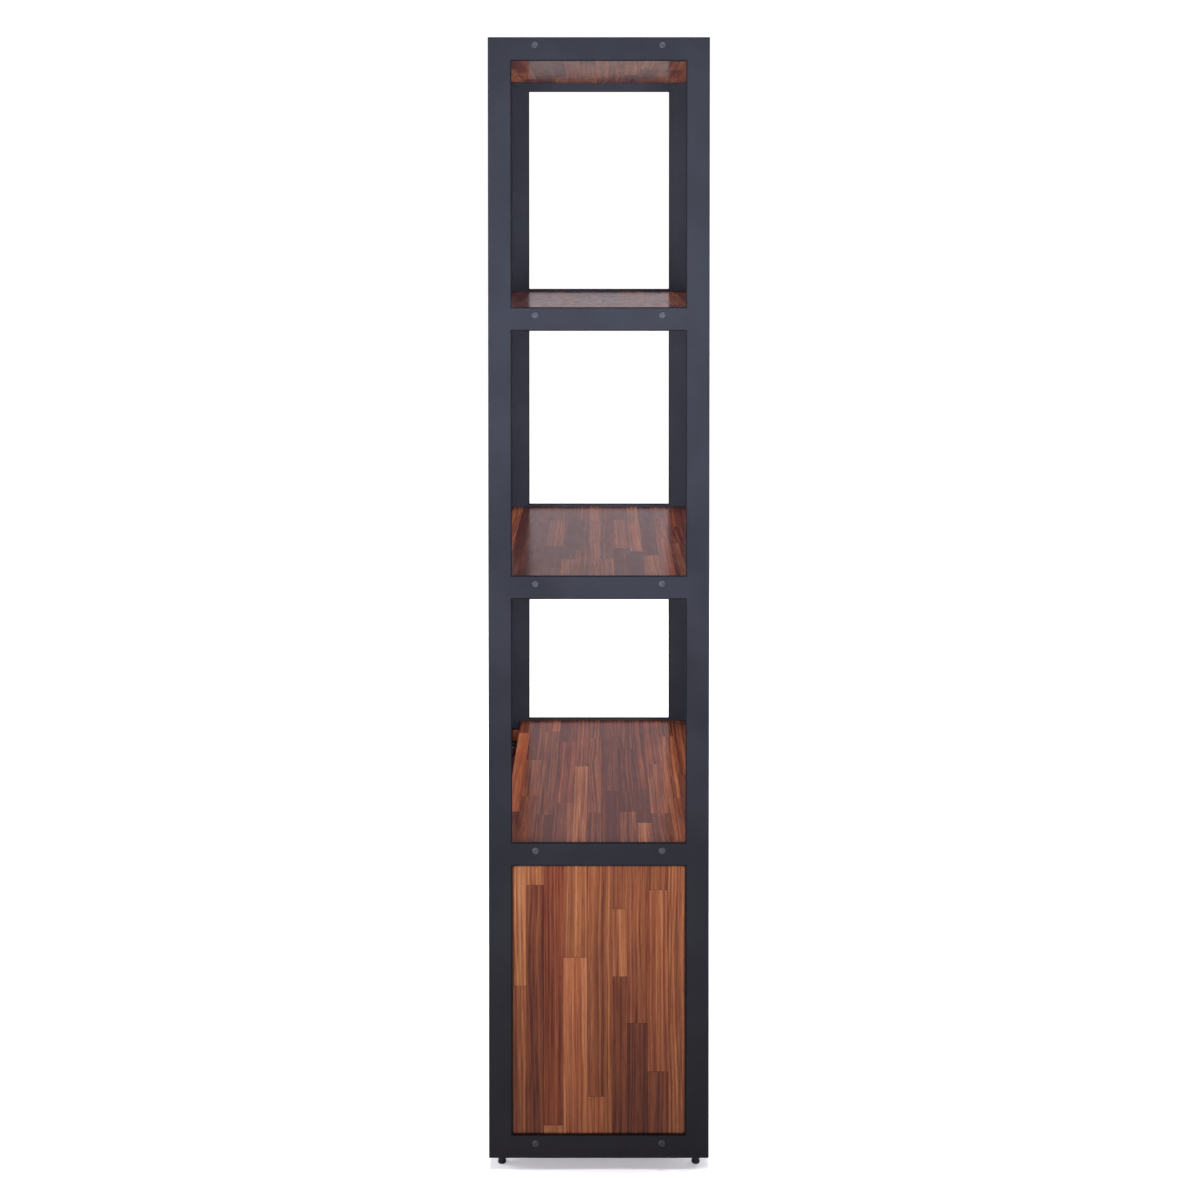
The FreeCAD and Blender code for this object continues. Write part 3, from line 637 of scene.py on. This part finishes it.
def end_frame(side):
    """Two angle uprights and five flat rails, welded and ground flush into one ladder."""
    rails = [f"end_rail_{side}_{name}" for name in RAILS]
    posts = [f"upright_{end}_{side}" for end in ENDS]
    rail_low, rail_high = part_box(rails[0])
    blocks = [box_of(rail) for rail in rails]
    wall = rail_high.x - rail_low.x
    for post in posts:
        low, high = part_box(post)
        outer = high.y if "back" in post else low.y
        plate = [Vector(low), Vector(high)]
        plate[0].x, plate[1].x = rail_low.x, rail_high.x
        leg = [Vector(low), Vector(high)]
        leg[0].y, leg[1].y = sorted((outer, outer - wall if "back" in post else outer + wall))
        blocks += [tuple(map(tuple, plate)), tuple(map(tuple, leg))]
    front_edge, back_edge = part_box(posts[0])[1].y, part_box(posts[1])[0].y
    rail_boxes = [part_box(rail) for rail in rails]
    bays = [(lower[1].z, upper[0].z) for upper, lower in zip(rail_boxes, rail_boxes[1:])]
    # Extra mesh lines bound the band of painted shade round each opening.
    shade_rim_heights = [z for low, high in bays for z in (low - PAINTED_RIM_WIDTH, high + PAINTED_RIM_WIDTH)]
    bm = grid_solid(blocks, ((), (front_edge - PAINTED_RIM_WIDTH, back_edge + PAINTED_RIM_WIDTH), shade_rim_heights))
    low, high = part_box(posts[0])[0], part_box(posts[1])[1]
    outer_x = high.x if side == "right" else low.x

    def is_corner(edge):
        first, second = (vert.co for vert in edge.verts)
        return same(first.x, second.x, outer_x) and (
            same(first.y, second.y, low.y) or same(first.y, second.y, high.y))

    round_edges(bm, CORNER_ROUND, 4, is_corner)
    round_edges(bm, SHEET_EDGE, 2)
    # Marks the faces round the openings where the coat gets painted shade.
    rim = bm.faces.layers.float.new("rim")
    for face in bm.faces:
        middle = face.calc_center_median()
        across = front_edge - PAINTED_RIM_WIDTH < middle.y < back_edge + PAINTED_RIM_WIDTH
        face[rim] = float(across and any(low - PAINTED_RIM_WIDTH < middle.z < high + PAINTED_RIM_WIDTH for low, high in bays))
    add_piece(f"end_frame_{side}", bm, COAT, "frame", posts + rails)


def front_rail(node):
    bm = grid_solid([box_of(node)])
    round_edges(bm, SHEET_EDGE, 2)
    add_piece(f"{node}_bar", bm, COAT, "frame", [node])


def boards():
    """The bolted boards, the adjustable shelf and the back panel."""
    bolted = ("top_board", "upper_shelf", "middle_shelf", "cupboard_top", "cupboard_floor")
    for number, node in enumerate(bolted):
        stave_board(node, X, Y, seed=11 + number)
    stave_board("adjustable_shelf", X, Y, seed=31, body="loose_shelf")
    stave_board("back_panel", -Z, X, seed=41, piece_name="{}_veneer", slot="back_panel_wood",
                row_wide=LEAF_WIDE, stave_long=LEAF_LONG)


def side_panels():
    for side in SIDES:
        low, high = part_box(f"side_panel_{side}")
        drill = peg_drill(high.y - low.y, high.x - low.x, side == "left")
        rows = None
        if side == "right":
            rows = [(wide * MM, [(start * MM, tone) for start, tone in staves])
                    for wide, staves in PANEL_ROWS]
        stave_board(f"side_panel_{side}", -Z, Y, seed=51, rows=rows, drill=drill)


def door(side):
    body = f"{side}_door"
    stave_board(f"door_{side}", -Z, X, seed=61 + SIDES[side], body=body)
    pull(side, body)


def pull(side, body):
    """A square D-shaped pull of flat steel, rounded where it is gripped."""
    node = f"door_pull_{side}"
    low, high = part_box(node)
    bm = grid_solid([
        ((low.x, low.y, low.z), (high.x, low.y + PULL_BAR, high.z)),
        ((low.x, low.y, low.z), (high.x, high.y, low.z + PULL_POST)),
        ((low.x, low.y, high.z - PULL_POST), (high.x, high.y, high.z)),
    ])

    def is_front_corner(edge):
        first, second = (vert.co for vert in edge.verts)
        return same(first.y, second.y, low.y) and (
            same(first.z, second.z, low.z) or same(first.z, second.z, high.z))

    round_edges(bm, PULL_BEND, 5, is_front_corner)
    round_edges(bm, PULL_EDGE, 3)
    add_piece(f"{node}_bar", bm, COAT, body, [node])


def board_bolts(side):
    """Button-head bolts with hexagon sockets, two at each rail."""
    node = f"board_bolts_{side}"
    low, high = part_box(node)
    outward = X * SIDES[side]
    head_top = high.x if side == "right" else low.x
    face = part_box(f"end_rail_{side}_top")[1 if side == "right" else 0].x
    tall = abs(head_top - face)
    rings = [(-BOLT_DEEP, 0.8 * BOLT_SHANK), (0.6 * MM - BOLT_DEEP, BOLT_SHANK), (0, BOLT_SHANK),
             (0, BOLT_HEAD - 0.2 * MM), (BOLT_EDGE, BOLT_HEAD)]
    for n in range(1, DOME_STEPS + 1):
        angle = math.pi / 2 * n / DOME_STEPS
        rings.append((BOLT_EDGE + (tall - BOLT_EDGE) * math.sin(angle),
                      BOLT_LAND + (BOLT_HEAD - BOLT_LAND) * math.cos(angle)))
    rings += [(tall - 0.3 * MM, SOCKET, "hexagon"), (tall - SOCKET_DEEP, SOCKET - 0.05 * MM, "hexagon")]
    bm = bmesh.new()
    rail_boxes = [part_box(f"end_rail_{side}_{name}") for name in RAILS]
    drop = rail_boxes[0][1].z - (high.z - BOLT_HEAD)
    for _, rail_high in rail_boxes:
        for y in (low.y + BOLT_HEAD, high.y - BOLT_HEAD):
            turned_rings(bm, rings, Vector((face, y, rail_high.z - drop)), outward, ROUND_PARTS)
    add_piece(f"{node}_heads", bm, BLACK_STEEL, "frame", [node])


def foot_pad(end, side):
    """A moulded pad: a flared skirt with a rounded foot."""
    node = f"foot_{end}_{side}_pad"
    low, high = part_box(node)
    middle = (low + high) / 2
    wide = (high.x - low.x) / 2
    tall = high.z - low.z
    top = PAD_TOP * wide
    rings = [(height * MM, wide - inset * MM) for height, inset in PAD_SKIRT]
    rings += [(tall - 1.4 * MM, top), (tall - 0.5 * MM, top - 0.3 * MM), (tall, top - 1.0 * MM)]
    bm = bmesh.new()
    turned_rings(bm, rings, Vector((middle.x, middle.y, low.z)), Z, ROUND_PARTS)
    add_piece(f"{node}_moulded", bm, PLASTIC, f"foot_{end}_{side}", [node])


for frame_side in SIDES:
    end_frame(frame_side)
    door(frame_side)
    board_bolts(frame_side)
    for foot_end in ENDS:
        foot_pad(foot_end, frame_side)
for rail in ("front_rail_above_doors", "front_rail_below_doors"):
    front_rail(rail)
boards()
side_panels()
kept_nodes()


# ---- studio ----------------------------------------------------------------------------------------------


def by_ray(tree, seen, mirrored, lighting):
    """A colour of the surroundings as it is seen, as it is mirrored and as it lights the object."""
    path = tree.nodes.new("ShaderNodeLightPath")
    colour = None
    for ray, level in (("Is Glossy Ray", mirrored), ("Is Diffuse Ray", lighting)):
        mix = tree.nodes.new("ShaderNodeMix")
        mix.data_type = "RGBA"
        mix.inputs[6].default_value = seen
        mix.inputs[7].default_value = level
        tree.links.new(path.outputs[ray], mix.inputs[0])
        if colour:
            tree.links.new(colour, mix.inputs[6])
        colour = mix.outputs[2]
    return colour


def studio_world():
    """Surroundings that are seen white but are mirrored, and light the object, more dimly."""
    world = bpy.data.worlds.new("studio")
    bpy.context.scene.world = world
    world.use_nodes = True
    tree = world.node_tree
    colour = by_ray(tree, SEEN_WHITE, MIRRORED_WHITE, FILL_LIGHT)
    tree.links.new(colour, tree.nodes["Background"].inputs["Color"])


def studio_floor():
    bm = bmesh.new()
    bmesh.ops.create_grid(bm, x_segments=1, y_segments=1, size=FLOOR_HALF)
    mesh = bpy.data.meshes.new("floor")
    bm.to_mesh(mesh)
    bm.free()
    floor = bpy.data.objects.new("floor", mesh)
    bpy.context.scene.collection.objects.link(floor)
    material = bpy.data.materials.new("pale_floor")
    material.use_nodes = True
    tree = material.node_tree
    surface = tree.nodes["Principled BSDF"]
    surface.inputs["Roughness"].default_value = 0.9
    surface.inputs["Specular IOR Level"].default_value = 0.0
    colour = by_ray(tree, FLOOR_SEEN, FLOOR_MIRRORED, FLOOR_BOUNCE)
    tree.links.new(colour, surface.inputs["Base Color"])
    tree.links.new(by_ray(tree, FLOOR_GLOW, DARK, DARK), surface.inputs["Emission Color"])
    surface.inputs["Emission Strength"].default_value = 1.0
    mesh.materials.append(material)
    return floor


def area_light(name, place, target, size, power, colour=(1, 1, 1), spread=180, mirrored=False):
    """A soft box that isn't itself seen by the camera."""
    data = bpy.data.lights.new(name, "AREA")
    data.shape = "RECTANGLE"
    data.size, data.size_y = size
    data.energy = power
    data.color = colour
    data.spread = math.radians(spread)
    light = bpy.data.objects.new(name, data)
    light.location = place
    light.rotation_euler = (Vector(target) - Vector(place)).to_track_quat("-Z", "Y").to_euler()
    light.visible_camera = False
    light.visible_glossy = mirrored
    bpy.context.scene.collection.objects.link(light)


def floor_light(floor):
    """Light from straight above that keeps the floor white. It lights nothing but the floor."""
    data = bpy.data.lights.new("floor_light", "SUN")
    data.energy = 2.2
    data.angle = math.radians(5)
    light = bpy.data.objects.new("floor_light", data)
    light.location = (0, 0, 3)
    bpy.context.scene.collection.objects.link(light)
    receivers = bpy.data.collections.new("floor_light_receivers")
    receivers.objects.link(floor)
    light.light_linking.receiver_collection = receivers


def studio_camera():
    """Eye height at the right-hand side, looking along -X."""
    data = bpy.data.cameras.new("camera")
    data.sensor_width = 36
    data.lens = CAMERA_LENS
    data.shift_y = CAMERA_SHIFT
    camera = bpy.data.objects.new("camera", data)
    camera.location = (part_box("end_rail_right_top")[1].x + CAMERA_AWAY, CAMERA_SIDE, CAMERA_HEIGHT)
    camera.rotation_euler = (math.radians(CAMERA_TILT), 0, math.radians(90))
    bpy.context.scene.collection.objects.link(camera)
    bpy.context.scene.camera = camera


studio_world()
floor_light(studio_floor())
area_light("key", (2.70, 0, 1.34), (0.30, 0, 1.34), size=(0.7, 0.8), power=11.3,
           colour=KEY_COLOUR, spread=64)
for name, beside in (("inner_front", -1.3), ("inner_back", 1.3)):
    area_light(name, (0.18, beside, 1.1), (-0.30, 0, 1.1), size=(0.2, 1.3), power=5.0,
               colour=KEY_COLOUR, spread=90)
area_light("low", (2.40, 0, 0.35), (0.30, 0, 0.20), size=(0.8, 0.4), power=0.32,
           colour=LOW_COLOUR, spread=64)
area_light("front", (-0.1, -2.8, 1.0), (0, 0, 0.9), size=(1.6, 1.8), power=55, mirrored=True)
area_light("rear", (-2.3, 2.0, 1.5), (0, 0, 0.9), size=(1.6, 1.8), power=75)
area_light("above", (0, 0, 3.0), (0, 0, 1.8), size=(1.4, 1.0), power=9, mirrored=True)
studio_camera()
bpy.context.scene.view_settings.view_transform = "Standard"
